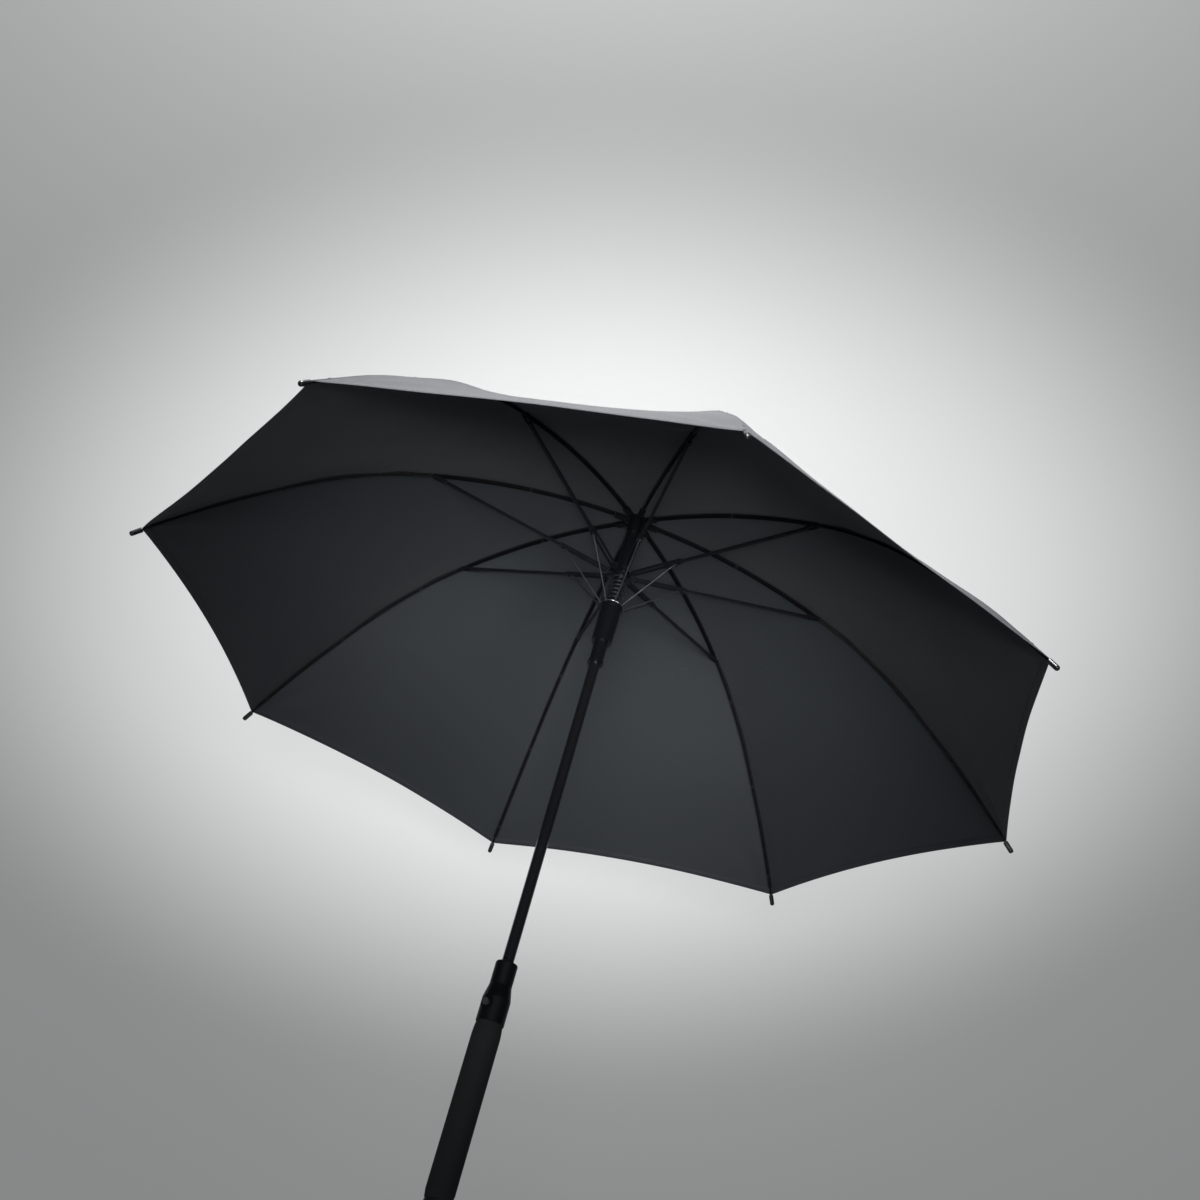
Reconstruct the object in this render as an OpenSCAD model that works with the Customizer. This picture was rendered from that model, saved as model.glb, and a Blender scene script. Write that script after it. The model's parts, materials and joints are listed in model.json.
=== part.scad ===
// Automatic-opening golf umbrella, open. Millimetres, +Z up along the shaft.
// The origin is the middle of the grip. Frame heights are written from the crown
// pivot ring (z = 0 there) and lifted by crown_height at the end.
// Eight steel ribs with fibreglass ends hang from the crown, eight stretchers join
// them to the upper runner, and eight wire links join the stretchers to the lower
// runner, with the opening spring between the two runners.

/* [Canopy] */
// Distance from the shaft axis to the fabric's corners
canopy_radius = 586; // [500:1:650]
// How far the fabric's corners hang below the crown pivots
canopy_drop = 271.5; // [220:0.5:320]
// Fabric thickness
fabric = 0.5; // [0.3:0.1:1]
// Depth of the cut-out of the hem between two tips
hem_cut = 12; // [0:0.5:20]
// Radius that sets how far the fabric sags between two ribs
sag_radius = 760; // [500:10:2000]
// Bend radius of the rib's outer part next to its joint
bend_r = 540; // [450:5:700]
// Distance from the shaft axis where the outer part gets straighter
bend_to = 430; // [380:5:500]

/* [Frame] */
// Radius of the crown's and the upper runner's pivot rings
pivot_r = 13; // [11:0.5:16]
// Distance of the rib joints from the shaft axis
joint_r = 277.6; // [240:0.1:300]
// How far the rib joints hang below the crown pivots
joint_drop = 45.58; // [35:0.01:60]
// Distance of the link pivots along the stretchers
link_at = 68.5; // [50:0.5:90]
// How far the link pivots hang below the stretchers' middle line
link_lug = 2.5; // [2:0.1:4]
// Radius of the lower runner's pivot ring
link_ring_r = 15.5; // [14:0.5:18]
// How far the lower runner's pivots hang below the crown pivots
link_ring_drop = 141; // [120:0.5:160]

/* [Shaft and handle] */
// Shaft tube's outer radius
shaft_r = 7; // [5:0.5:8]
// Shaft tube's wall
shaft_wall = 0.8; // [0.5:0.1:1.5]
// Height of the crown pivots above the middle of the grip
crown_height = 812; // [700:1:900]
// Grip radius
grip_r = 16.5; // [13:0.5:19]
// Length of the straight part of the grip
grip_len = 170; // [120:1:200]

/* [Hidden] */
$fn = 48;

// inner rib: an arc, level at the crown, down to the joint
in_x = joint_r - pivot_r;
arc1_r = (in_x*in_x + joint_drop*joint_drop)/(2*joint_drop);
arc1_a = asin(in_x/arc1_r);
// outer rib: a tighter arc from the joint, in line with the inner one, then a flatter arc to the fabric's corner
arc2_r = bend_r;
arc2_cx = joint_r - arc2_r*sin(arc1_a);
arc2_cz = -joint_drop - arc2_r*cos(arc1_a);
bend_a = asin(sin(arc1_a) + (bend_to - joint_r)/arc2_r);
arc2_a = bend_a - arc1_a;
bend_z = arc2_cz + arc2_r*cos(bend_a);
chord = sqrt((canopy_radius - bend_to)*(canopy_radius - bend_to) + (canopy_drop + bend_z)*(canopy_drop + bend_z));
chord_a = atan2(canopy_drop + bend_z, canopy_radius - bend_to);
arc3_a = 2*(chord_a - bend_a);
arc3_r = chord/(2*sin(chord_a - bend_a));
arc3_cx = bend_to - arc3_r*sin(bend_a);
arc3_cz = bend_z - arc3_r*cos(bend_a);
tip_a = bend_a + arc3_a;

// stretchers: as long as the inner rib's pivot distance, from the joint to the upper runner
stretch_l = sqrt(in_x*in_x + joint_drop*joint_drop);
stretch_a = atan2(joint_drop, in_x);
runner_z = -2*joint_drop;

// link pivot on the stretcher, and the link from there to the lower runner
link_x = pivot_r + link_at*cos(stretch_a) + link_lug*sin(stretch_a);
link_z = runner_z + link_at*sin(stretch_a) - link_lug*cos(stretch_a);
link_dx = link_x - link_ring_r;
link_dz = link_z + link_ring_drop;
link_l = sqrt(link_dx*link_dx + link_dz*link_dz);
link_a = atan2(link_dx, link_dz);

wire_r = 0.6;
fabric_h = 3;

module at_rib(k) { translate([0, 0, crown_height]) rotate([0, 0, -45*(k - 1)]) children(); }
module lifted() { translate([0, 0, crown_height]) children(); }
// a ring of round wire
module wire_ring(r, w) { rotate_extrude($fn = 96) translate([r, 0]) circle(w, $fn = 24); }
// a round bar across the rib's plane, centred on it
module across(r, l) { rotate([90, 0, 0]) cylinder(h = l, r = r, center = true, $fn = 32); }
// part of a ring in the rib's plane, about an axis across it, from angle a0 to a1 above +X
module bow(cx, cz, a0, a1) {
  translate([cx, 0, cz]) rotate([90, 0, 0]) rotate([0, 0, a0])
    rotate_extrude(angle = a1 - a0, $fn = 360) children();
}

// ---- shaft, crown and ferrule ----

module shaft() color("#2a2b2d") lifted() difference() {
  translate([0, 0, -905]) cylinder(h = 919, r = shaft_r);
  translate([0, 0, -906]) cylinder(h = 921, r = shaft_r - shaft_wall);
  // window for the catch, hole for the button's stem, holes for the crown pin
  translate([0, -2, -643.5]) cube([12, 4, 8]);
  translate([0, 0, -693]) rotate([0, 90, 0]) cylinder(h = 12, r = 2, $fn = 32);
  translate([0, 0, -12]) rotate([0, 0, 22.5]) across(1.22, 30);
}

module crown() color("#18191b") lifted() difference() {
  union() {
    translate([0, 0, -3]) cylinder(h = 5, r = 15.5, $fn = 96);
    translate([0, 0, -20]) cylinder(h = 17.5, r = 10.2, $fn = 96);
  }
  translate([0, 0, -21]) cylinder(h = 24, r = shaft_r + 0.02);
  wire_ring(pivot_r, wire_r + 0.02);
  for (k = [0:7]) rotate([0, 0, 45*k]) translate([10.7, -1.3, -4]) cube([8, 2.6, 7]);
  translate([0, 0, -12]) rotate([0, 0, 22.5]) across(1.22, 30);
}

module crown_wire() color("#b9bcc0") lifted() wire_ring(pivot_r, wire_r);

module crown_pin() color("#8d9196") lifted()
  translate([0, 0, -12]) rotate([0, 0, 22.5]) across(1.2, 20);

module top_cap() color("#141517") lifted() translate([0, 0, 3.8]) rotate_extrude($fn = 96)
  polygon([[shaft_r + 0.05, 0], [15, 0], [15, 1.2], [13.6, 2.6], [10.5, 3.9], [shaft_r + 0.05, 4.4]]);

module ferrule() color("#141517") lifted() rotate_extrude($fn = 96)
  polygon([[shaft_r + 0.05, 8.4], [9, 8.4], [9.2, 9.6], [8.9, 13], [8, 20], [6.6, 40], [5.6, 58],
           [5.4, 66], [4.9, 69.5], [3.4, 71.6], [0, 72.4], [0, 14.2], [shaft_r + 0.05, 14.2]]);

// ---- ribs ----

module rib_section() {
  // fluted strip, open below
  difference() {
    square([4, 3.4], center = true);
    translate([-0.5, 0]) square([4, 2.4], center = true);
  }
}

module rib(k) color("#1b1c1e") at_rib(k) {
  difference() {
    union() {
      // eye on the crown wire and the wide moulded root behind it
      translate([pivot_r, 0, 0]) {
        across(1.8, 2);
        translate([0, -1, -1.4]) cube([6, 2, 2.8]);
        translate([4.2, -4, -3.3]) cube([14, 8, 5.2]);
      }
      bow(pivot_r, -arc1_r, 90 - arc1_a + 0.2, 90 - 0.6) translate([arc1_r, 0]) rib_section();
      // cheeks at the joint
      translate([joint_r, 0, -joint_drop]) rotate([0, arc1_a, 0]) for (s = [-1, 1]) {
        translate([-5, s*1.45 - 0.25, -2]) cube([5, 0.5, 4]);
        translate([0, s*1.45, 0]) across(2, 0.5);
      }
    }
    translate([pivot_r, 0, 0]) across(0.75, 4);
    translate([joint_r, 0, -joint_drop]) across(0.82, 6);
  }
  // rivet
  translate([joint_r, 0, -joint_drop]) {
    across(0.8, 6.6);
    for (s = [-1, 1]) translate([0, s*3.55, 0]) across(1.6, 0.5);
  }
}

module flex_rib(k) color("#202225") at_rib(k) difference() {
  union() {
    translate([joint_r, 0, -joint_drop]) rotate([0, arc1_a, 0]) {
      across(1.8, 2);
      translate([0, -1, -1.4]) cube([8, 2, 2.8]);
    }
    // socket, then the round fibreglass rod, a little thinner towards the tip
    bow(arc2_cx, arc2_cz, 90 - arc1_a - 3.8, 90 - arc1_a - 0.43) translate([arc2_r, 0]) circle(2, $fn = 24);
    bow(arc2_cx, arc2_cz, 90 - bend_a, 90 - arc1_a - 3.4) translate([arc2_r, 0]) circle(1.7, $fn = 24);
    bow(arc3_cx, arc3_cz, 90 - tip_a - 0.47, 90 - bend_a + 0.05) translate([arc3_r, 0]) circle(1.5, $fn = 24);
  }
  translate([joint_r, 0, -joint_drop]) across(0.85, 4);
}

module tip_cap(k) color("#0f1012") at_rib(k)
  translate([canopy_radius, 0, -canopy_drop]) rotate([0, 90 + tip_a, 0]) rotate_extrude($fn = 48)
    polygon([[1.65, 0.5], [3, 0.5], [3.3, 1.2], [3.3, 13.8], [3, 15.3], [2.1, 16.4], [0, 16.9], [0, 12.9], [1.65, 12.9]]);

// ---- stretchers and links ----

module stretcher(k) color("#1d1e20") at_rib(k)
  translate([pivot_r, 0, runner_z]) rotate([0, -stretch_a, 0]) {
    difference() {
      union() {
        across(1.8, 2);
        translate([0, -1, -1.4]) cube([6, 2, 2.8]);
        // wide channel, open below, out to the link pivot
        translate([4.2, -3.6, -0.8]) cube([3, 7.2, 3.3]);
        translate([4.2, -3.6, 1.9]) cube([72.3, 7.2, 0.6]);
        for (s = [-1, 1]) translate([6, s*3.3 - 0.3, -1.9]) cube([70.5, 0.6, 4.4]);
        translate([75, -3.6, -1.9]) cube([3.5, 7.2, 4.4]);
        // lugs for the link
        for (s = [-1, 1]) translate([link_at, s*3.3, -link_lug]) across(1.9, 0.6);
        // slim bar, then the fork over the rib
        translate([77, -1.7, -1.9]) cube([stretch_l - 14 - 77, 3.4, 3.8]);
        translate([stretch_l - 18, -3, -1.9]) cube([4, 6, 3.8]);
        for (s = [-1, 1]) {
          translate([stretch_l - 15, s*2.7 - 0.3, -1.9]) cube([15, 0.6, 3.8]);
          translate([stretch_l, s*2.7, 0]) across(1.9, 0.6);
        }
      }
      // long slot through the channel's back
      hull() for (x = [12, 63]) translate([x, 0, 0]) cylinder(h = 4, r = 2.6, $fn = 32);
      across(0.75, 4);
      translate([stretch_l, 0, 0]) across(0.85, 8);
      translate([link_at, 0, -link_lug]) across(0.72, 9);
    }
    // rivet
    translate([link_at, 0, -link_lug]) {
      across(0.7, 7.4);
      for (s = [-1, 1]) translate([0, s*3.9, 0]) across(1.3, 0.6);
    }
  }

module link(k) color("#8f9398") at_rib(k)
  translate([link_x, 0, link_z]) rotate([0, link_a, 0]) difference() {
    union() {
      across(1.9, 2);
      translate([0, 0, -link_l]) cylinder(h = link_l, r = 1.1, $fn = 24);
      translate([0, 0, -link_l]) across(1.9, 2);
    }
    across(0.75, 4);
    // the lower end is an open hook
    translate([0, 0, -link_l]) {
      across(0.75, 4);
      rotate([0, 32.7, 0]) translate([-1.1, -2, -4]) cube([2.2, 4, 4]);
    }
  }

// ---- runners and spring ----

module upper_runner() color("#17181a") lifted() translate([0, 0, runner_z]) difference() {
  union() {
    translate([0, 0, -3.2]) cylinder(h = 5.2, r = 15, $fn = 96);
    translate([0, 0, -4.8]) cylinder(h = 2, r = 12, $fn = 96);
    translate([0, 0, 1]) cylinder(h = 66, r = 9, $fn = 96);
  }
  translate([0, 0, -5]) cylinder(h = 74, r = shaft_r + 0.15);
  wire_ring(pivot_r, wire_r + 0.02);
  for (k = [0:7]) rotate([0, 0, 45*k]) translate([10.6, -1.5, -4]) cube([8, 3, 7]);
}

module upper_runner_wire() color("#b9bcc0") lifted() translate([0, 0, runner_z]) wire_ring(pivot_r, wire_r);

module lower_runner() color("#17181a") lifted() translate([0, 0, -link_ring_drop]) difference() {
  union() {
    // toothed rim; the wire lies half out of its groove
    translate([0, 0, -3.6]) cylinder(h = 5, r = 15.7, $fn = 96);
    translate([0, 0, -57]) cylinder(h = 54, r = 13.5, $fn = 96);
  }
  translate([0, 0, -50]) cylinder(h = 54, r = 12.3, $fn = 96);
  translate([0, 0, -58]) cylinder(h = 20, r = 9.02, $fn = 96);
  wire_ring(link_ring_r, 0.72);
  for (k = [0:7]) rotate([0, 0, 45*k]) translate([12.8, -1.5, -3]) cube([8, 3, 5]);
}

module lower_runner_wire() color("#c9ccd0") lifted() translate([0, 0, -link_ring_drop]) wire_ring(link_ring_r, 0.7);

module runner_sleeve() color("#1c1d20") lifted() translate([0, 0, -link_ring_drop]) difference() {
  union() {
    translate([0, 0, -91]) cylinder(h = 41, r = 9, $fn = 96);
    translate([0, 0, -91]) cylinder(h = 4.2, r = 10.4, $fn = 96);
  }
  translate([0, 0, -92]) cylinder(h = 43, r = shaft_r + 0.15, $fn = 96);
  // window for the catch
  translate([0, -2.2, -86]) cube([12, 4.4, 8]);
}

// a coil of round wire along +Z as one closed skin
module coil(r, w, turns, h, seg = 14, side = 6) {
  n = turns*seg;
  function dir(i) = 360*i/seg;
  function ring(i) = [for (j = [0:side - 1])
    let (a = dir(i), p = 360*j/side, q = r + w*cos(p), z = h*i/n + w*sin(p)) [q*cos(a), q*sin(a), z]];
  pts = [for (i = [0:n]) each ring(i)];
  skin = [for (i = [0:n - 1], j = [0:side - 1])
    let (a = i*side + j, b = i*side + (j + 1)%side, c = a + side, d = b + side) each [[a, d, b], [a, c, d]]];
  caps = [[for (j = [0:side - 1]) j], [for (j = [side - 1:-1:0]) n*side + j]];
  polyhedron(points = pts, faces = concat(skin, caps), convexity = 10);
}

module opening_spring() color("#2b2d30") lifted()
  translate([0, 0, -link_ring_drop - 49]) coil(11, 0.9, 14.5, link_ring_drop + 49 + runner_z - 6);

// ---- canopy ----

// stations along a rib: [distance, height, slope], from the crown hole to the tip
arc_in = [for (i = [0:5]) let (a = arc1_a*i/5) [pivot_r + arc1_r*sin(a), arc1_r*(cos(a) - 1), a]];
arc_mid = [for (i = [1:4]) let (a = arc1_a + arc2_a*i/4) [arc2_cx + arc2_r*sin(a), arc2_cz + arc2_r*cos(a), a]];
arc_out = [for (i = [1:3]) let (a = bend_a + arc3_a*i/3) [arc3_cx + arc3_r*sin(a), arc3_cz + arc3_r*cos(a), a]];
stations = concat([[8, 0, 0]], arc_in, arc_mid, arc_out);
function station(i, v) = i < len(stations) - 1 ? stations[i] :
  let (a = tip_a - (hem_cut/arc3_r)*180/PI*4*v*(1 - v)) [arc3_cx + arc3_r*sin(a), arc3_cz + arc3_r*cos(a), a];
function ease(x) = let (t = min(max(x, 0), 1)) t*t*(3 - 2*t);
function sag(r) = let (w = r*sin(22.5)) w*w/(2*sag_radius)*(1 - ease((r/canopy_radius - 0.55)/0.45));
// a point of the fabric, v = 0 at one rib to 1 at the next, h above the rib's middle line
function cloth(i, v, h) =
  let (s = station(i, v), r = s[0], az = 45*v,
       x = r*(1 - v) + r*cos(45)*v, y = r*sin(45)*v,
       d = sag(r)*4*v*(1 - v),
       nx = sin(s[2]), nz = cos(s[2]))
  [x + h*nx*cos(az) - d*nx*cos(22.5), y + h*nx*sin(az) - d*nx*sin(22.5), s[1] + h*nz - d*nz];

module gore() {
  m = len(stations);
  c = 6;
  w = c + 1;
  vv = [for (j = [0:c]) 0.0006 + 0.9988*j/c];
  low = [for (i = [0:m - 1], j = [0:c]) cloth(i, vv[j], fabric_h)];
  high = [for (i = [0:m - 1], j = [0:c]) cloth(i, vv[j], fabric_h + fabric)];
  n = m*w;
  function q(a, b, c, d) = [[a, b, c], [a, c, d]];
  faces = concat(
    [for (i = [0:m - 2], j = [0:c - 1]) let (a = i*w + j) each q(a, a + w, a + w + 1, a + 1)],
    [for (i = [0:m - 2], j = [0:c - 1]) let (a = n + i*w + j) each q(a, a + 1, a + w + 1, a + w)],
    [for (i = [0:m - 2]) let (a = i*w) each q(a, n + a, n + a + w, a + w)],
    [for (i = [0:m - 2]) let (a = i*w + c) each q(a, a + w, n + a + w, n + a)],
    [for (j = [0:c - 1]) let (a = j) each q(a, a + 1, n + a + 1, n + a)],
    [for (j = [0:c - 1]) let (a = (m - 1)*w + j) each q(a, n + a, n + a + 1, a + 1)]);
  polyhedron(points = concat(low, high), faces = faces, convexity = 6);
}

module canopy() color("#24272a") lifted() for (k = [0:7]) rotate([0, 0, 45*k]) gore();

// ---- handle ----

module handle_collar() color("#141517") lifted() difference() {
  union() {
    rotate_extrude($fn = 96)
      polygon([[7.02, -652], [10.6, -652], [10.6, -641], [12.4, -641], [13, -642], [13, -668], [15.6, -680],
               [16.4, -684], [16.4, -711.9], [7.02, -711.9]]);
    translate([10, 0, -693]) rotate([0, 90, 0]) cylinder(h = 7.4, r = 7);
  }
  translate([7.4, 0, -693]) rotate([0, 90, 0]) cylinder(h = 12, r = 4.2);
  translate([0, 0, -693]) rotate([0, 90, 0]) cylinder(h = 12, r = 2, $fn = 32);
}

module push_button() color("#2f3236") lifted() translate([0, 0, -693]) rotate([0, 90, 0]) {
  translate([0, 0, 10.6]) cylinder(h = 9.6, r = 4);
  translate([0, 0, 5.8]) cylinder(h = 5.4, r = 1.6, $fn = 32);
}

module catch_spring() color("#a9adb2") lifted() rotate([90, 0, 0]) translate([0, 0, -1.5])
  linear_extrude(3) polygon([[4.6, -704], [4.6, -636.5], [6.2, -636.5], [8.6, -641.4], [8.6, -642.4],
    [5.4, -642.4], [5.4, -703], [5.95, -706], [5.95, -714], [5.15, -714], [5.15, -706.2]]);

module handle_core() color("#1b1c1e") lifted() translate([0, 0, -906]) difference() {
  cylinder(h = 194, r = 10, $fn = 96);
  translate([0, 0, -1]) cylinder(h = 196, r = shaft_r + 0.02);
}

module grip() color("#1f2022") lifted() rotate_extrude($fn = 96)
  polygon([[10.05, -crown_height - grip_len/2 - 10], [14, -crown_height - grip_len/2 - 10],
           [15.4, -crown_height - grip_len/2 - 8], [grip_r, -crown_height - grip_len/2],
           [grip_r, -crown_height + grip_len/2], [grip_r - 0.3, -crown_height + grip_len/2 + 6],
           [grip_r - 1, -crown_height + grip_len/2 + 12], [grip_r - 1.6, -712.1], [10.05, -712.1]]);

module end_cap() color("#141517") lifted() rotate_extrude($fn = 96)
  polygon([[0, -922], [9, -921], [13, -918.6], [15.2, -914.5], [15.6, -911], [15.2, -907.2],
           [11.5, -907.2], [0, -907.2]]);

shaft();
ferrule();
top_cap();
crown();
crown_wire();
crown_pin();
canopy();
handle_collar();
handle_core();
grip();
end_cap();
push_button();
catch_spring();
upper_runner();
upper_runner_wire();
lower_runner();
lower_runner_wire();
runner_sleeve();
opening_spring();
rib(1);  // rib_1
rib(2);  // rib_2
rib(3);  // rib_3
rib(4);  // rib_4
rib(5);  // rib_5
rib(6);  // rib_6
rib(7);  // rib_7
rib(8);  // rib_8
flex_rib(1);  // flex_rib_1
flex_rib(2);  // flex_rib_2
flex_rib(3);  // flex_rib_3
flex_rib(4);  // flex_rib_4
flex_rib(5);  // flex_rib_5
flex_rib(6);  // flex_rib_6
flex_rib(7);  // flex_rib_7
flex_rib(8);  // flex_rib_8
tip_cap(1);  // tip_cap_1
tip_cap(2);  // tip_cap_2
tip_cap(3);  // tip_cap_3
tip_cap(4);  // tip_cap_4
tip_cap(5);  // tip_cap_5
tip_cap(6);  // tip_cap_6
tip_cap(7);  // tip_cap_7
tip_cap(8);  // tip_cap_8
stretcher(1);  // stretcher_1
stretcher(2);  // stretcher_2
stretcher(3);  // stretcher_3
stretcher(4);  // stretcher_4
stretcher(5);  // stretcher_5
stretcher(6);  // stretcher_6
stretcher(7);  // stretcher_7
stretcher(8);  // stretcher_8
link(1);  // link_1
link(2);  // link_2
link(3);  // link_3
link(4);  // link_4
link(5);  // link_5
link(6);  // link_6
link(7);  // link_7
link(8);  // link_8
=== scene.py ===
import json
import math
import bpy
import numpy as np
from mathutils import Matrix, Quaternion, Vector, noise


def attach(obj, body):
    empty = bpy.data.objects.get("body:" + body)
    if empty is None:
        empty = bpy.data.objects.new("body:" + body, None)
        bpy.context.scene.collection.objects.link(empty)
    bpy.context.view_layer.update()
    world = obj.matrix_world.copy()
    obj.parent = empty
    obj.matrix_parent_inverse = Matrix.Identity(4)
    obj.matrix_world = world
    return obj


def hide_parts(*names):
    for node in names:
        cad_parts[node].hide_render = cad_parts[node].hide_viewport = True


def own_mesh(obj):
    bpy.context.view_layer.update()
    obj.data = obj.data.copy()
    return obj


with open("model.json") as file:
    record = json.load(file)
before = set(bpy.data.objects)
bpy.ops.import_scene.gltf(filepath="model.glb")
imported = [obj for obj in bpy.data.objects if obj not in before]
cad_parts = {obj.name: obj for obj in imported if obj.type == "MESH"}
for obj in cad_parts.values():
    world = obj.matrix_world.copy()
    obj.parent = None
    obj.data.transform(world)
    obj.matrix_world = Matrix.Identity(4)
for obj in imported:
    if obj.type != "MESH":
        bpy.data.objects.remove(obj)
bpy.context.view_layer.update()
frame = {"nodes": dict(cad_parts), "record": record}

# ---------------------------------------------------------------- sizes, in metres
H = 0.812                                    # crown pivots above the middle of the grip
RC = 0.013
RP, ZP = 0.2776, -0.04558                    # rib joints
TR, TZ = 0.586, -0.2715                      # fabric corners
A1R = ((RP - RC)**2 + ZP**2)/(-2*ZP)
A1 = math.asin((RP - RC)/A1R)
A2R, BR = 0.540, 0.430                       # outer part: tighter arc out to radius BR, then a flatter one
C2X, C2Z = RP - A2R*math.sin(A1), ZP - A2R*math.cos(A1)
BA = math.asin((BR - C2X)/A2R)
BZ = C2Z + A2R*math.cos(BA)
EA = math.atan2(BZ - TZ, TR - BR)
A3R = math.hypot(TR - BR, TZ - BZ)/(2*math.sin(EA - BA))
C3X, C3Z = BR - A3R*math.sin(BA), BZ - A3R*math.cos(BA)
TIP = 2*EA - BA
T22 = math.tan(math.radians(22.5))
TIES = (0.295, 0.345, 0.46, 0.565)           # where thread holds the cloth to the outer rod


def station(r):
    """height below the crown pivots and slope of a rib's middle line at radius r"""
    if r <= RC:
        return 0.0, 0.0
    if r <= RP:
        a = math.asin((r - RC)/A1R)
        return A1R*(math.cos(a) - 1), a
    if r <= BR:
        a = math.asin((r - C2X)/A2R)
        return C2Z + A2R*math.cos(a), a
    a = math.asin((r - C3X)/A3R)
    return C3Z + A3R*math.cos(a), a


def smooth(x):
    x = min(max(x, 0.0), 1.0)
    return x*x*(3 - 2*x)


def soft(y, r):
    """how the cloth rounds over the rib, less and less towards the corner"""
    c = 0.004 - 0.0034*smooth((r - 0.49)/0.09)
    return y - c*(1 - math.exp(-y/c))


def y_mid(r):
    y = T22*r
    for _ in range(12):
        y = T22*(r - T22*soft(y, r))
    return y


def lift(r):
    """cloth's height above the rib's middle line: strip, socket, then the thinner rod"""
    return 0.00245 - 0.0003*smooth((r - 0.318)/0.03) - 0.0002*smooth((r - BR)/0.02)


def slack(r, y):
    """how far the cloth stands off the rod between the ties"""
    for a, b in zip(TIES, TIES[1:]):
        if a < r < b:
            return 0.0013*math.sin(math.pi*(r - a)/(b - a))**2*math.exp(-(y/0.02)**2)
    return 0.0


def cloth(k, side, r, w, dh=0.0, ruffle=True):
    """a point of the cloth in the row frame, w = 0 over rib k to 1 at the middle of the panel"""
    z, a = station(r)
    ym = y_mid(r)
    y = w*ym
    v = 0.5*soft(y, r)/max(soft(ym, r), 1e-9)
    wide = r*math.sin(math.radians(22.5))
    d = wide*wide/1.52*(1 - smooth((r/TR - 0.55)/0.45))*4*v*(1 - v)
    x = r - T22*soft(y, r)
    az = math.atan2(y, x)
    n = (math.sin(a)*math.cos(az), math.sin(a)*math.sin(az), math.cos(a))
    m = (math.sin(a)*math.cos(math.radians(22.5)), math.sin(a)*math.sin(math.radians(22.5)), math.cos(a))
    h = lift(r) + slack(r, y) + dh
    p = [x + h*n[0] - d*m[0], y + h*n[1] - d*m[1], z + h*n[2] - d*m[2]]
    psi = -math.pi/4*(k - 1)
    q = Vector((p[0]*math.cos(psi) - side*p[1]*math.sin(psi), p[0]*math.sin(psi) + side*p[1]*math.cos(psi), p[2] + H))
    if ruffle:
        e = smooth(y/0.02)
        g = noise.noise(q*9.0)*0.0016*e*smooth((r - 0.05)/0.2)
        # pulls that run from the fabric's corner
        t = smooth((r - 0.46)/0.10)
        ang = math.atan2(y, max(TR + 0.006 - r, 1e-6))
        g += 0.0045*t*smooth(y/0.02)*smooth((hem_r(w) - r)/0.025)*math.sin(ang*8 + k*1.7 + side)*math.exp(-math.hypot(y, TR - r)/0.06)*(1 - w)
        nn = Vector((n[0]*math.cos(psi) - side*n[1]*math.sin(psi), n[0]*math.sin(psi) + side*n[1]*math.cos(psi), n[2]))
        q += nn*g
    return q


# ---------------------------------------------------------------- materials
def links(nt, *pairs):
    for a, b in pairs:
        nt.links.new(a, b)


def material(name, base, rough, metal=0.0, coat=0.0, spec=0.5, noise_scale=0.0, noise_amount=0.0, bump=0.0, bump_scale=0.0, sheen=0.0):
    m = bpy.data.materials.new(name)
    m.use_nodes = True
    nt = m.node_tree
    b = nt.nodes["Principled BSDF"]
    b.inputs["Base Color"].default_value = (*base, 1)
    b.inputs["Roughness"].default_value = rough
    b.inputs["Metallic"].default_value = metal
    b.inputs["Specular IOR Level"].default_value = spec
    b.inputs["Coat Weight"].default_value = coat
    b.inputs["Coat Roughness"].default_value = 0.08
    if sheen:
        b.inputs["Sheen Weight"].default_value = sheen
        b.inputs["Sheen Roughness"].default_value = 0.5
    tc = nt.nodes.new("ShaderNodeTexCoord")
    if noise_amount:
        t = nt.nodes.new("ShaderNodeTexNoise")
        t.inputs["Scale"].default_value = noise_scale
        t.inputs["Detail"].default_value = 4
        r = nt.nodes.new("ShaderNodeMapRange")
        r.inputs["To Min"].default_value = max(rough - noise_amount, 0.02)
        r.inputs["To Max"].default_value = min(rough + noise_amount, 1)
        links(nt, (tc.outputs["Object"], t.inputs["Vector"]), (t.outputs["Fac"], r.inputs["Value"]),
              (r.outputs["Result"], b.inputs["Roughness"]))
    if bump:
        t = nt.nodes.new("ShaderNodeTexNoise")
        t.inputs["Scale"].default_value = bump_scale
        t.inputs["Detail"].default_value = 3
        u = nt.nodes.new("ShaderNodeBump")
        u.inputs["Strength"].default_value = bump
        u.inputs["Distance"].default_value = 0.0004
        links(nt, (tc.outputs["Object"], t.inputs["Vector"]), (t.outputs["Fac"], u.inputs["Height"]),
              (u.outputs["Normal"], b.inputs["Normal"]))
    return m


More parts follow.
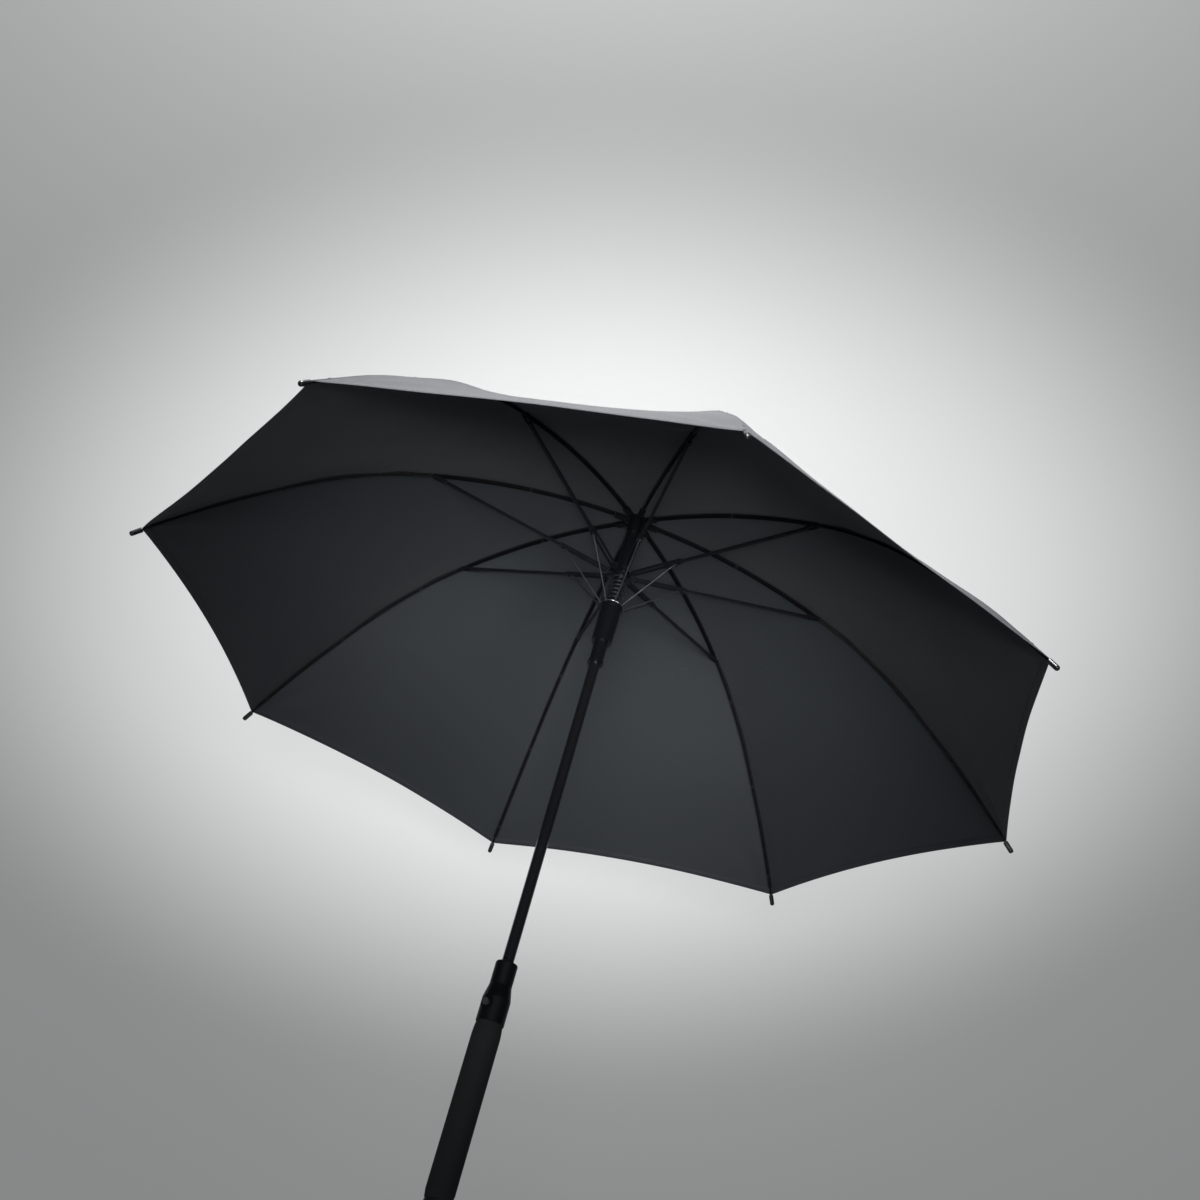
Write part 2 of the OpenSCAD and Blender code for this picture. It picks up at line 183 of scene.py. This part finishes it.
def fabric_material(name, base, rough=0.72):
    """close pongee weave: two crossed threads as a small bump, a faint cross-hatch in the colour"""
    m = bpy.data.materials.new(name)
    m.use_nodes = True
    nt = m.node_tree
    b = nt.nodes["Principled BSDF"]
    b.inputs["Roughness"].default_value = rough
    b.inputs["Specular IOR Level"].default_value = 0.35
    b.inputs["Sheen Weight"].default_value = 0.12
    b.inputs["Sheen Roughness"].default_value = 0.4
    uv = nt.nodes.new("ShaderNodeUVMap")
    uv.uv_map = "cut"
    waves = []
    for d in ("X", "Y"):
        w = nt.nodes.new("ShaderNodeTexWave")
        w.wave_type = "BANDS"
        w.bands_direction = d
        w.inputs["Scale"].default_value = 420
        w.inputs["Distortion"].default_value = 0.6
        w.inputs["Detail"].default_value = 1
        w.inputs["Detail Scale"].default_value = 0.4
        links(nt, (uv.outputs["UV"], w.inputs["Vector"]))
        waves.append(w)
    mix = nt.nodes.new("ShaderNodeMath")
    mix.operation = "ADD"
    links(nt, (waves[0].outputs["Fac"], mix.inputs[0]), (waves[1].outputs["Fac"], mix.inputs[1]))
    slub = nt.nodes.new("ShaderNodeTexNoise")
    slub.inputs["Scale"].default_value = 60
    slub.inputs["Detail"].default_value = 5
    stretch = nt.nodes.new("ShaderNodeMapping")
    stretch.inputs["Scale"].default_value = (8, 1, 1)
    links(nt, (uv.outputs["UV"], stretch.inputs["Vector"]), (stretch.outputs["Vector"], slub.inputs["Vector"]))
    total = nt.nodes.new("ShaderNodeMath")
    total.operation = "MULTIPLY_ADD"
    total.inputs[1].default_value = 1.2
    links(nt, (slub.outputs["Fac"], total.inputs[0]), (mix.outputs[0], total.inputs[2]))
    bump = nt.nodes.new("ShaderNodeBump")
    bump.inputs["Strength"].default_value = 0.3
    bump.inputs["Distance"].default_value = 0.0002
    links(nt, (total.outputs[0], bump.inputs["Height"]), (bump.outputs["Normal"], b.inputs["Normal"]))
    ramp = nt.nodes.new("ShaderNodeMapRange")
    ramp.inputs["From Min"].default_value = 0.6
    ramp.inputs["From Max"].default_value = 2.6
    ramp.inputs["To Min"].default_value = 0.86
    ramp.inputs["To Max"].default_value = 1.12
    links(nt, (total.outputs[0], ramp.inputs["Value"]))
    tint = nt.nodes.new("ShaderNodeVectorMath")
    tint.operation = "SCALE"
    tint.inputs[0].default_value = base
    links(nt, (ramp.outputs["Result"], tint.inputs["Scale"]), (tint.outputs["Vector"], b.inputs["Base Color"]))
    return m


MAT = {
    "shaft_lacquer": material("shaft_lacquer", (0.006, 0.0064, 0.0072), 0.22, coat=0.7, spec=0.6, noise_scale=40, noise_amount=0.03),
    "black_plastic": material("black_plastic", (0.003, 0.0033, 0.0045), 0.42, spec=0.25, noise_scale=120, noise_amount=0.05),
    "runner_plastic": material("runner_plastic", (0.004, 0.0045, 0.006), 0.3, coat=0.15, spec=0.25, noise_scale=120, noise_amount=0.05),
    "ferrule_plastic": material("ferrule_plastic", (0.01, 0.0102, 0.011), 0.28, coat=0.3),
    "rib_steel": material("rib_steel", (0.0028, 0.003, 0.0038), 0.5, spec=0.2, noise_scale=90, noise_amount=0.06),
    "flex_rib_fibreglass": material("flex_rib_fibreglass", (0.0028, 0.003, 0.0038), 0.5, spec=0.22, bump=0.15, bump_scale=400),
    "tip_plastic": material("tip_plastic", (0.01, 0.01, 0.011), 0.3, coat=0.3),
    "stretcher_steel": material("stretcher_steel", (0.006, 0.0065, 0.0078), 0.4, coat=0.1, spec=0.3, noise_scale=90, noise_amount=0.05),
    "link_steel": material("link_steel", (0.026, 0.028, 0.032), 0.38, metal=0.3, noise_scale=200, noise_amount=0.08),
    "wire_steel": material("wire_steel", (0.45, 0.46, 0.48), 0.28, metal=1.0),
    "pin_steel": material("pin_steel", (0.4, 0.41, 0.43), 0.35, metal=1.0),
    "spring_steel": material("spring_steel", (0.03, 0.032, 0.036), 0.3, metal=0.6),
    "catch_steel": material("catch_steel", (0.42, 0.43, 0.45), 0.3, metal=1.0),
    "grip_foam": material("grip_foam", (0.018, 0.018, 0.019), 0.88, spec=0.3, bump=0.6, bump_scale=900),
    "core_plastic": material("core_plastic", (0.03, 0.03, 0.032), 0.5),
    "button_plastic": material("button_plastic", (0.05, 0.052, 0.056), 0.3, coat=0.3),
    "canopy_fabric": fabric_material("canopy_fabric", (0.030, 0.0342, 0.0385)),
    # painted shade: a near-black copy of the fabric for the seams' sides and undersides, standing in for the shade
    # along the ribs
    "seam_painted_shade": fabric_material("seam_painted_shade", (0.0045, 0.005, 0.0062), 0.85),
    "thread": material("thread", (0.02, 0.021, 0.023), 0.8, bump=0.5, bump_scale=1500),
}
slot_of = {s["node"]: s["material_slot"] for s in frame["record"]["subparts"]}
for name, o in frame["nodes"].items():
    o.data.materials.clear()
    o.data.materials.append(MAT[slot_of[name]])


def build(name, verts, faces, mat, uvs=None, flat=False):
    me = bpy.data.meshes.new(name)
    me.from_pydata([tuple(v) for v in verts], [], faces)
    me.materials.append(MAT[mat])
    if uvs is not None:
        layer = me.uv_layers.new(name="cut")
        idx = np.zeros(len(me.loops), int)
        me.loops.foreach_get("vertex_index", idx)
        layer.data.foreach_set("uv", np.array(uvs, np.float32)[idx].ravel())
    me.polygons.foreach_set("use_smooth", [not flat]*len(me.polygons))
    me.update()
    o = bpy.data.objects.new(name, me)
    bpy.context.scene.collection.objects.link(o)
    return o


def grid_faces(rows, cols, flip=False):
    f = []
    for i in range(rows - 1):
        for j in range(cols - 1):
            a = i*cols + j
            q = (a, a + 1, a + cols + 1, a + cols)
            f.append(q[::-1] if flip else q)
    return f


# ---------------------------------------------------------------- the canopy, in half panels
def border(w):
    """radius where the inner half panel ends: on the line across the rib through its joint"""
    r = RP
    for _ in range(20):
        r = RP + T22*soft(w*y_mid(r), r)
    return r


def hem_r(w):
    v = w/2
    a = TIP - 0.012/A3R*4*v*(1 - v)
    return C3X + A3R*math.sin(a)


def cut_area(lo, hi):
    """area of a half panel's cut, flat on the table: it curves only along the panel's middle line"""
    total, m, n = 0.0, 40, 60
    for i in range(m):
        w = (i + 0.5)/m
        a, b = lo(w), hi(w)
        for j in range(n):
            r = a + (b - a)*(j + 0.5)/n
            total += y_mid(r)*math.hypot(1, math.tan(station(r)[1])/math.cos(math.radians(22.5)))*(b - a)/(n*m)
    return total


INNER_CUT = cut_area(lambda w: 0.0078, border)
OUTER_CUT = cut_area(border, lambda w: hem_r(w) + 0.0068)      # with the fold of the hem


inner_w = [0, 0.012, 0.03, 0.06, 0.11, 0.18, 0.27, 0.37, 0.48, 0.6, 0.72, 0.83, 0.92, 1.0]
outer_w = [0, 0.008, 0.018, 0.035, 0.06, 0.095, 0.14, 0.2, 0.27, 0.35, 0.44, 0.53, 0.62, 0.71, 0.8, 0.88, 0.95, 1.0]
for k in range(1, 9):
    for side in (1, -1):
        tag = f"{k}{'a' if side > 0 else 'b'}"
        # inner half panel, from the hole at the crown to the line of the joints
        n_rows = 22
        verts, uvs = [], []
        for i in range(n_rows + 1):
            t = i/n_rows
            for w in inner_w:
                r = 0.0078 + (border(w) - 0.0078)*t
                verts.append(cloth(k, side, r, w))
                uvs.append((side*w*y_mid(r), r))
        o = build(f"canopy_inner_{tag}", verts, grid_faces(n_rows + 1, len(inner_w), side < 0), "canopy_fabric", uvs)
        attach(o, f"rib_{k}")
        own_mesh(o)
        # outer half panel, down to the hem, which is folded back inside
        n_rows = 34
        rows = []
        for i in range(n_rows + 1):
            t = i/n_rows
            t = t - 0.04*math.sin(2*math.pi*t)/(2*math.pi)
            rows.append([(border(w) + (hem_r(w) - border(w))*t, w, 0.0) for w in outer_w])
        rows.append([(hem_r(w) + 0.0003, w, -0.0003) for w in outer_w])
        rows.append([(hem_r(w) - 0.0001, w, -0.0007) for w in outer_w])
        rows.append([(hem_r(w) - 0.0030, w, -0.0009) for w in outer_w])
        rows.append([(hem_r(w) - 0.0062, w, -0.0008) for w in outer_w])
        rows.append([(hem_r(w) - 0.0065, w, -0.0003) for w in outer_w])
        verts, uvs = [], []
        for row in rows:
            for r, w, dh in row:
                verts.append(cloth(k, side, r, w, dh))
                uvs.append((side*w*y_mid(r), r + (0.01 if dh < 0 else 0)))
        o = build(f"canopy_outer_{tag}", verts, grid_faces(len(rows), len(outer_w), side < 0), "canopy_fabric", uvs)
        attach(o, f"flex_rib_{k}")
        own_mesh(o)
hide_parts("canopy")

# felled seams over the ribs, in two lengths each: strip and rod; each seam's top takes the plain fabric, its sides and
# underside a near-black copy of the fabric, painted shade along the ribs
for k in range(1, 9):
    for outer in (False, True):
        r0, r1 = (RP, TR - 0.0015) if outer else (0.0085, RP)
        ys = [-0.0034, -0.0031, -0.0016, 0, 0.0016, 0.0031, 0.0034]
        n_rows = 34 if outer else 24
        verts, uvs = [], []
        ring = [(y, 0.00038 if abs(y) < 0.0033 else 0.0001) for y in ys] + [(y, -0.00032) for y in ys[::-1]]
        for i in range(n_rows + 1):
            r = r0 + (r1 - r0)*i/n_rows
            g = min(1.0, (r + 0.002)/0.022)
            for y, dh in ring:
                ym = y_mid(r)
                verts.append(cloth(k, 1 if y >= 0 else -1, r, min(abs(y)*g/ym, 1.0), dh, False))
                uvs.append((y + dh, r))
        c = len(ring)
        faces = [(i*c + j, i*c + (j + 1) % c, (i + 1)*c + (j + 1) % c, (i + 1)*c + j) for i in range(n_rows) for j in range(c)]
        faces += [tuple(range(c))[::-1], tuple(n_rows*c + j for j in range(c))]
        o = build(f"seam_{'outer' if outer else 'inner'}_{k}", verts, faces, "seam_painted_shade", uvs)
        # the top faces keep the plain fabric; the rest of the seam carries the painted shade
        o.data.materials.append(MAT["canopy_fabric"])
        for p in o.data.polygons:
            if p.index < n_rows*c and p.index % c < 6:
                p.material_index = 1
            if p.index >= n_rows*c:
                p.use_smooth = False
        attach(o, f"flex_rib_{k}" if outer else f"rib_{k}")


# ---------------------------------------------------------------- thread ties that hold the cloth to the ribs
def rib_frame(k, r):
    z, a = station(r)
    psi = -math.pi/4*(k - 1)
    er = Vector((math.cos(psi), math.sin(psi), 0))
    et = Vector((-math.sin(psi), math.cos(psi), 0))
    t = er*math.cos(a) - Vector((0, 0, 1))*math.sin(a)
    n = er*math.sin(a) + Vector((0, 0, 1))*math.cos(a)
    return er*r + Vector((0, 0, z + H)), t, et, n


def tube(name, pts, radius, mat, sides=8, closed=False):
    verts, faces = [], []
    m = len(pts)
    up = None
    for i, p in enumerate(pts):
        a = pts[(i - 1) % m] if closed or i > 0 else p
        b = pts[(i + 1) % m] if closed or i < m - 1 else p
        d = (b - a).normalized()
        if up is None:
            up = d.orthogonal().normalized()
        up = (up - d*up.dot(d)).normalized()
        s = d.cross(up)
        for j in range(sides):
            q = 2*math.pi*j/sides
            verts.append(p + up*(radius*math.cos(q)) + s*(radius*math.sin(q)))
    for i in range(m if closed else m - 1):
        for j in range(sides):
            faces.append((i*sides + j, i*sides + (j + 1) % sides, ((i + 1) % m)*sides + (j + 1) % sides, ((i + 1) % m)*sides + j))
    if not closed:
        faces += [tuple(range(sides))[::-1], tuple((m - 1)*sides + j for j in range(sides))]
    return build(name, verts, faces, mat)


def tie(name, k, r, body, wide, tall, turns=3):
    """thread wound round the rib and through the seam"""
    p, t, et, n = rib_frame(k, r)
    pts = []
    steps = 16*turns
    for i in range(steps + 1):
        q = 2*math.pi*i/16
        x = math.cos(q)*wide
        y = math.sin(q)*tall
        pts.append(p + et*x + n*(y + 0.0002) + t*((i/steps - 0.5)*0.0011*turns))
    o = tube(name, pts, 0.0003, "thread", 6)
    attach(o, body)
    return o


for k in range(1, 9):
    tie(f"tie_rib_{k}", k, 0.15, f"rib_{k}", 0.0024, 0.0029)
    tie(f"tie_flex_a_{k}", k, 0.345, f"flex_rib_{k}", 0.0021, 0.0024, 4)
    tie(f"tie_flex_b_{k}", k, 0.46, f"flex_rib_{k}", 0.0021, 0.0024, 4)
    tie(f"tie_flex_c_{k}", k, 0.565, f"flex_rib_{k}", 0.0021, 0.0024, 3)

# ---------------------------------------------------------------- opening spring
pts = []
z0, z1, turns = H - 0.190, H - 0.09716, 14.5
steps = int(turns*28)
for i in range(steps + 1):
    u = i/steps
    a = 2*math.pi*turns*u
    # the end coils lie flat
    s = u - 0.05*math.sin(2*math.pi*u)/(2*math.pi)
    f = smooth(u*turns/1.2)*smooth((1 - u)*turns/1.2)
    z = z0 + (z1 - z0)*s
    if f < 1:
        z = z*f + (z0 + 0.0001 if u < 0.5 else z1 - 0.0001)*(1 - f)
    pts.append(Vector((0.011*math.cos(a), 0.011*math.sin(a), z)))
spring = tube("opening_spring_wire", pts, 0.0009, "spring_steel", 10)
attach(spring, "lower_runner")
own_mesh(spring)
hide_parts("opening_spring")

# ---------------------------------------------------------------- backdrop, lights, camera
cam = bpy.data.cameras.new("camera")
cam.lens, cam.sensor_width = 45.7637, 36
cam.clip_start, cam.clip_end = 0.05, 50
co = bpy.data.objects.new("camera", cam)
bpy.context.scene.collection.objects.link(co)
co.location = (1.355853, 1.042392, -0.379778)
co.rotation_mode = "QUATERNION"
co.rotation_quaternion = (0.1475623, 0.4913837, 0.7218686, 0.4644062)
bpy.context.scene.camera = co
rot = Quaternion((0.1475623, 0.4913837, 0.7218686, 0.4644062)).to_matrix()
right, up, fwd = rot @ Vector((1, 0, 0)), rot @ Vector((0, 1, 0)), rot @ Vector((0, 0, -1))
eye = Vector(co.location)
crown = Vector((0, 0, H))

# a pale studio wall square to the view; seen from behind it lets light and sight through
me = bpy.data.meshes.new("backdrop")
me.from_pydata([(-1.3, -1.3, 0), (1.3, -1.3, 0), (1.3, 1.3, 0), (-1.3, 1.3, 0)], [], [(0, 1, 2, 3)])
wall = bpy.data.objects.new("backdrop", me)
bpy.context.scene.collection.objects.link(wall)
wall.rotation_mode = "QUATERNION"
wall.rotation_quaternion = co.rotation_quaternion
wall.location = eye + fwd*2.62
bm = bpy.data.materials.new("backdrop")
bm.use_nodes = True
nt = bm.node_tree
b = nt.nodes["Principled BSDF"]
b.inputs["Base Color"].default_value = (0.2, 0.2, 0.2, 1)
b.inputs["Roughness"].default_value = 0.9
b.inputs["Specular IOR Level"].default_value = 0.1
# painted light: the wall glows, most in an oval near its middle (0.65) and less towards its edges (0.20), and the glow
# also lights the umbrella
b.inputs["Emission Color"].default_value = (0.985, 1.0, 1.0, 1)
tc = nt.nodes.new("ShaderNodeTexCoord")
off = nt.nodes.new("ShaderNodeVectorMath")
off.operation = "SUBTRACT"
off.inputs[1].default_value = (0.012, 0.01, 0)
oval = nt.nodes.new("ShaderNodeVectorMath")
oval.operation = "MULTIPLY"
oval.inputs[1].default_value = (0.835, 1.282, 1)
ln = nt.nodes.new("ShaderNodeVectorMath")
ln.operation = "LENGTH"
mr = nt.nodes.new("ShaderNodeMapRange")
mr.interpolation_type = "SMOOTHSTEP"
mr.inputs["From Min"].default_value = 0.432
mr.inputs["From Max"].default_value = 1.134
mr.inputs["To Min"].default_value = 0.65
mr.inputs["To Max"].default_value = 0.20
out = nt.nodes["Material Output"]
clear = nt.nodes.new("ShaderNodeBsdfTransparent")
geo = nt.nodes.new("ShaderNodeNewGeometry")
mixer = nt.nodes.new("ShaderNodeMixShader")
# the wall fades out at its edges
far = nt.nodes.new("ShaderNodeVectorMath")
far.operation = "ABSOLUTE"
xyz = nt.nodes.new("ShaderNodeSeparateXYZ")
edge = nt.nodes.new("ShaderNodeMath")
edge.operation = "MAXIMUM"
fade = nt.nodes.new("ShaderNodeMapRange")
fade.interpolation_type = "SMOOTHSTEP"
fade.inputs["From Min"].default_value = 1.04
fade.inputs["From Max"].default_value = 1.29
gone = nt.nodes.new("ShaderNodeMath")
gone.operation = "MAXIMUM"
links(nt, (tc.outputs["Object"], far.inputs[0]), (far.outputs["Vector"], xyz.inputs["Vector"]),
      (xyz.outputs["X"], edge.inputs[0]), (xyz.outputs["Y"], edge.inputs[1]), (edge.outputs["Value"], fade.inputs["Value"]),
      (geo.outputs["Backfacing"], gone.inputs[0]), (fade.outputs["Result"], gone.inputs[1]))
links(nt, (tc.outputs["Object"], off.inputs[0]), (off.outputs["Vector"], oval.inputs[0]), (oval.outputs["Vector"], ln.inputs[0]), (ln.outputs["Value"], mr.inputs["Value"]),
      (mr.outputs["Result"], b.inputs["Emission Strength"]),
      (gone.outputs["Value"], mixer.inputs["Fac"]), (b.outputs["BSDF"], mixer.inputs[1]), (clear.outputs["BSDF"], mixer.inputs[2]),
      (mixer.outputs["Shader"], out.inputs["Surface"]))
me.materials.append(bm)


def area_light(name, loc, target, size, power, color=(1, 1, 1)):
    d = bpy.data.lights.new(name, "AREA")
    d.shape = "DISK"
    d.size = size
    d.energy = power
    d.color = color
    o = bpy.data.objects.new(name, d)
    bpy.context.scene.collection.objects.link(o)
    o.location = loc
    o.rotation_mode = "QUATERNION"
    o.rotation_quaternion = (Vector(target) - Vector(loc)).to_track_quat("-Z", "Y")
    o.visible_camera = False
    return o


def spot_light(name, loc, target, angle, power):
    d = bpy.data.lights.new(name, "SPOT")
    d.energy = power
    d.spot_size = math.radians(angle)
    d.spot_blend = 1.0
    d.shadow_soft_size = 0.35
    o = bpy.data.objects.new(name, d)
    bpy.context.scene.collection.objects.link(o)
    o.location = loc
    o.rotation_mode = "QUATERNION"
    o.rotation_quaternion = (Vector(target) - Vector(loc)).to_track_quat("-Z", "Y")
    return o


# the far panels are lit from the front, under the near hem, most of all round the crown;
# a large lamp above grazes the near panels' outside
pool = eye + (fwd - right*0.0131 - up*0.0656)*2.15
heart = eye + (fwd + right*0.0262 + up*0.0262)*2.15
spot_light("key", pool + (-fwd*0.9703 + up*0.2419)*2.6, pool, 26, 180)
spot_light("side", pool + (-fwd*0.9305 + right*0.3387 + up*0.1392)*2.6, pool, 26, 62)
spot_light("core", heart - fwd*2.6, heart, 11, 440)
spot_light("core_soft", heart - fwd*2.6, heart, 18, 66)
spot_light("core_side", heart + (-fwd*0.9063 + right*0.4226)*2.6, heart, 18, 120)
spot_light("handle_light", (-fwd*0.85 - right*0.53)*2.3, (0, 0, 0.01), 15, 90)
area_light("top", crown + up*2.4, crown, 1.2, 160)
area_light("fill", crown - (fwd + up)*1.7, crown, 1.2, 3)

world = bpy.data.worlds.new("world")
bpy.context.scene.world = world
world.use_nodes = True
nt = world.node_tree
soft_sky = nt.nodes["Background"]
soft_sky.inputs["Color"].default_value = (0.62, 0.84, 1.0, 1)
soft_sky.inputs["Strength"].default_value = 0.05
pale = nt.nodes.new("ShaderNodeBackground")
pale.inputs["Color"].default_value = (0.60, 0.61, 0.61, 1)
ray = nt.nodes.new("ShaderNodeLightPath")
pick = nt.nodes.new("ShaderNodeMixShader")
links(nt, (ray.outputs["Is Camera Ray"], pick.inputs["Fac"]), (soft_sky.outputs["Background"], pick.inputs[1]),
      (pale.outputs["Background"], pick.inputs[2]), (pick.outputs["Shader"], nt.nodes["World Output"].inputs["Surface"]))
bpy.context.scene.view_settings.view_transform = "Standard"
